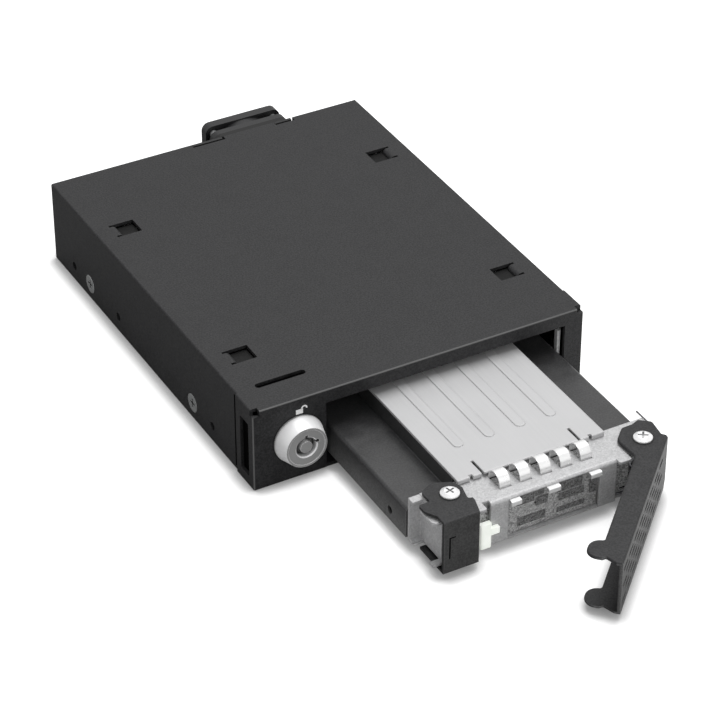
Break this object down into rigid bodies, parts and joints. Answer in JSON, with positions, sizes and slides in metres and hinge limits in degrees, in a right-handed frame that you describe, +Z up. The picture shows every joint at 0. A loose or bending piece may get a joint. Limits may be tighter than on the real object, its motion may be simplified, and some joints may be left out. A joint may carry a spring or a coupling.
{
  "type": "solid state drive mobile rack",
  "caption": "Key-locked metal cage for one 3.5 inch bay with a pull-out drive tray, sprung ejector lever, release latch and rear cooling fan.",
  "frame": {"origin": "middle of the flat bottom face of the cage", "axes": "+X to the right seen from the front, +Y from the front to the rear, +Z up"},
  "size_m": [0.1024, 0.2319, 0.0254],
  "materials": {
    "black_powder_coat": "matte black powder coat",
    "black_handle": "satin black coat",
    "galvanised_sheet": "galvanised steel sheet",
    "bright_sheet": "bright rolled sheet",
    "lid_sheet": "plain rolled sheet",
    "nickel_spring": "bright nickel plate",
    "dark_spring": "blued spring steel",
    "bright_screw": "bright zinc plate",
    "black_screw": "black oxide",
    "spring_wire": "dark drawn wire",
    "satin_lock": "satin nickel",
    "lock_core": "turned steel",
    "circuit_board": "green solder mask",
    "black_plastic": "moulded black",
    "port_shell": "plated shell",
    "fan_plastic": "moulded black",
    "gasket_rubber": "foam rubber",
    "light_pipe": "frosted clear",
    "thermal_pad": "soft pad",
    "chip_resin": "moulded resin"
  },
  "bodies": {
    "cage": {"cage_cover": "black_powder_coat", "cage_base": "black_powder_coat", "left_guide_rail": "galvanised_sheet", "right_guide_rail": "galvanised_sheet", "side_screws": "bright_screw", "lock_housing": "satin_lock", "lock_nut": "bright_screw", "backplane_board": "circuit_board", "backplane_screws": "bright_screw", "backplane_socket": "black_plastic", "data_connector": "port_shell", "power_connector": "black_plastic", "fan_gasket": "gasket_rubber", "fan_frame": "fan_plastic", "fan_screws": "black_screw"},
    "lock": {"lock_plug": "lock_core", "lock_cam": "bright_sheet", "lock_cam_screw": "bright_screw"},
    "fan": {"fan_rotor": "fan_plastic"},
    "tray": {"tray_pan": "galvanised_sheet", "tray_cover": "black_powder_coat", "front_frame": "bright_sheet", "frame_rivets": "bright_screw", "contact_fingers": "nickel_spring", "vent_plate": "galvanised_sheet", "pivot_screws": "bright_screw", "pivot_washers": "bright_screw", "lever_spring": "spring_wire", "latch_spring": "spring_wire", "earth_wire": "dark_spring", "light_pipe": "light_pipe", "drive_lid": "lid_sheet", "thermal_pad": "thermal_pad", "drive_board": "circuit_board", "drive_chips": "chip_resin", "drive_post": "bright_screw", "drive_socket": "black_plastic", "adaptor_board": "circuit_board", "board_standoffs": "bright_screw", "board_screws": "bright_screw"},
    "lever": {"ejector_lever": "black_handle"},
    "latch": {"release_latch": "black_handle"}
  },
  "joints": [
    {"name": "tray_slide", "type": "slide", "parent": "cage", "child": "tray", "axis": [0, 1, 0], "range_m": [-0.05, 0.0568]},
    {"name": "lever_hinge", "type": "hinge", "parent": "tray", "child": "lever", "pos_m": [0.0377, -0.11535, 0.0101], "axis": [0, 0, 1], "range_deg": [-44.8, 0], "stiffness_Nm_per_rad": 0.01, "springref_deg": 20.05},
    {"name": "latch_hinge", "type": "hinge", "parent": "tray", "child": "latch", "pos_m": [-0.0186, -0.11145, 0.0101], "axis": [0, 0, 1], "range_deg": [-6, 0], "stiffness_Nm_per_rad": 0.01, "springref_deg": 11.46},
    {"name": "lock_turn", "type": "hinge", "parent": "cage", "child": "lock", "pos_m": [-0.0378, -0.06475, 0.0127], "axis": [0, 1, 0], "range_deg": [0, 90]},
    {"name": "fan_spin", "type": "hinge", "parent": "cage", "child": "fan", "pos_m": [0.01545, 0.06825, 0.0129], "axis": [0, 1, 0], "continuous": true}
  ]
}
